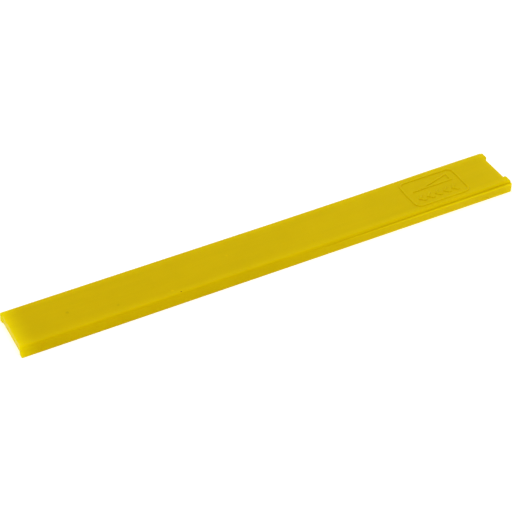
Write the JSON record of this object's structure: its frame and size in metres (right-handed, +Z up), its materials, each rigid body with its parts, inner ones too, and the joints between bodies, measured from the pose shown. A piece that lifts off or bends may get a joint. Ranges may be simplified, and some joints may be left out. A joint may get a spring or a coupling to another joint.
{
  "type": "plastic wedge strip",
  "caption": "Slim one-piece plastic hand wedge: a flat yellow strip with flared sides that step into narrow ledges, a slightly thicker notched end and a raised direction mark",
  "frame": {"origin": "centre of the underside, on the resting face", "axes": "+X along the strip from the plain entry end to the marked and notched end, +Y across the strip, +Z up out of the top face"},
  "size_m": [0.11, 0.012, 0.0027],
  "materials": {
    "yellow_plastic": "self-coloured yellow moulding, satin with a faint polish on the edges, slightly translucent"
  },
  "bodies": {
    "root": {"wedge_strip": "yellow_plastic"}
  },
  "joints": []
}
